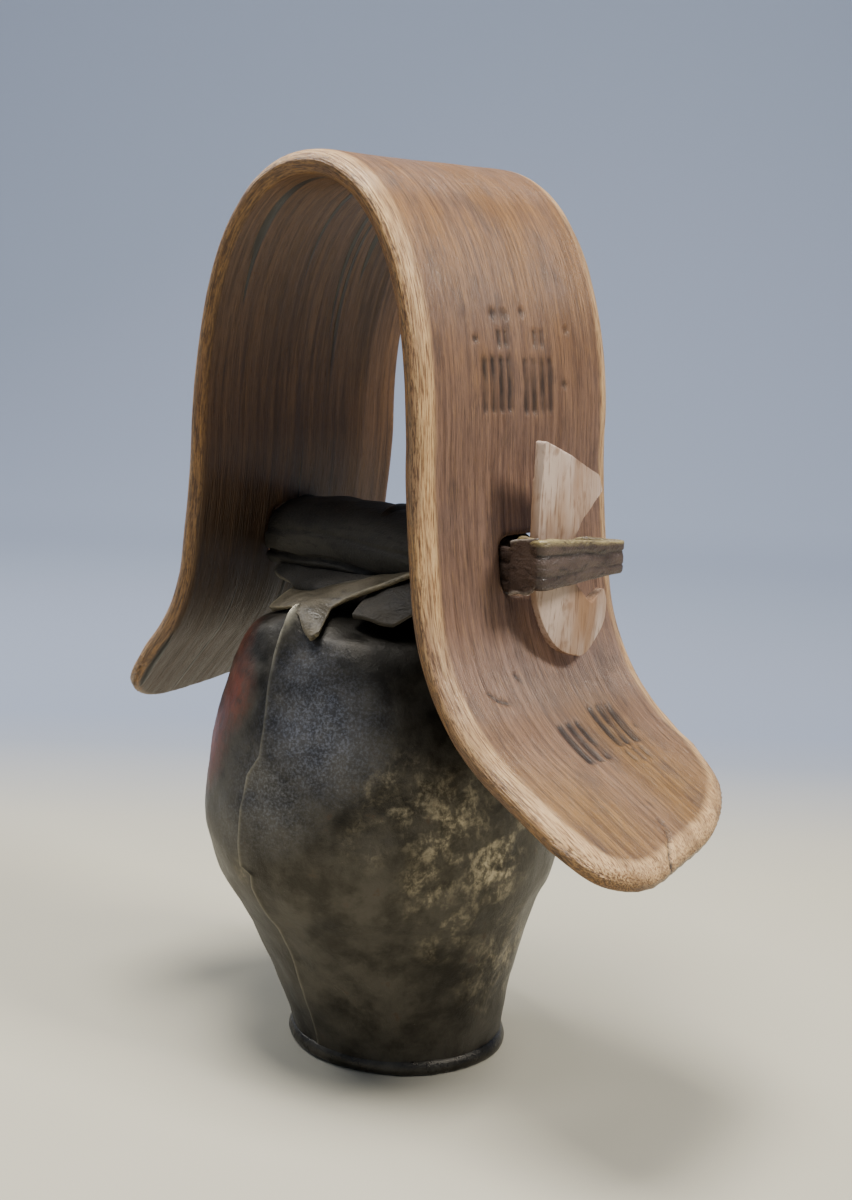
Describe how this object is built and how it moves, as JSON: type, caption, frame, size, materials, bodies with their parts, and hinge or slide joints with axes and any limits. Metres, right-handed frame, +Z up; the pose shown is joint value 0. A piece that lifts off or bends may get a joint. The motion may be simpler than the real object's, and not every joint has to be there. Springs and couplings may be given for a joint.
{
  "type": "livestock bell with wooden neck collar",
  "caption": "Sheet-iron animal bell with a clapper, hung by a keyed leather strap in a bentwood neck collar.",
  "frame": {"origin": "on the floor that the bell's mouth stands on, below the middle of the collar", "axes": "+Z up, X across the collar's two legs, Y through the collar, along the animal's neck"},
  "size_m": [0.2915, 0.1601, 0.3828],
  "materials": {
    "bow_wood": "old bentwood, brown, worn golden at the edges",
    "key_wood": "light carved wood, hand-worn",
    "strap_leather": "dark greased leather, layered edge",
    "pad_leather": "black-brown worn leather",
    "saddle_leather": "dry grey-tan leather",
    "bell_iron": "dark forged sheet iron with worn brazing",
    "forged_iron": "dark forged iron, burnished"
  },
  "bodies": {
    "collar": {"collar_bow": "bow_wood", "hanger_strap": "strap_leather", "strap_lap": "strap_leather"},
    "right_key": {"right_key": "key_wood"},
    "left_key": {"left_key": "key_wood"},
    "bell": {"bell_shell_right": "bell_iron", "bell_shell_left": "bell_iron", "mouth_hoop": "forged_iron", "bail_ring": "forged_iron", "throat_pad": "pad_leather", "roof_saddle": "saddle_leather"},
    "link": {"clapper_link": "forged_iron"},
    "clapper": {"clapper": "forged_iron"}
  },
  "joints": [
    {"name": "bell_swing", "type": "hinge", "parent": "collar", "child": "bell", "pos_m": [0, 0.003, 0.222], "axis": [1, 0, 0], "range_deg": [-14, 14]},
    {"name": "right_key_slide", "type": "slide", "parent": "collar", "child": "right_key", "axis": [0, 0, 1], "range_m": [-0.0035, 0.001]},
    {"name": "left_key_slide", "type": "slide", "parent": "collar", "child": "left_key", "axis": [0, 0, 1], "range_m": [-0.001, 0.001]},
    {"name": "link_swing", "type": "hinge", "parent": "bell", "child": "link", "pos_m": [0, 0.003, 0.176], "axis": [0, 1, 0], "range_deg": [-11, 11]},
    {"name": "clapper_swing", "type": "hinge", "parent": "link", "child": "clapper", "pos_m": [0, 0.003, 0.1633], "axis": [1, 0, 0], "range_deg": [-9, 9]}
  ]
}
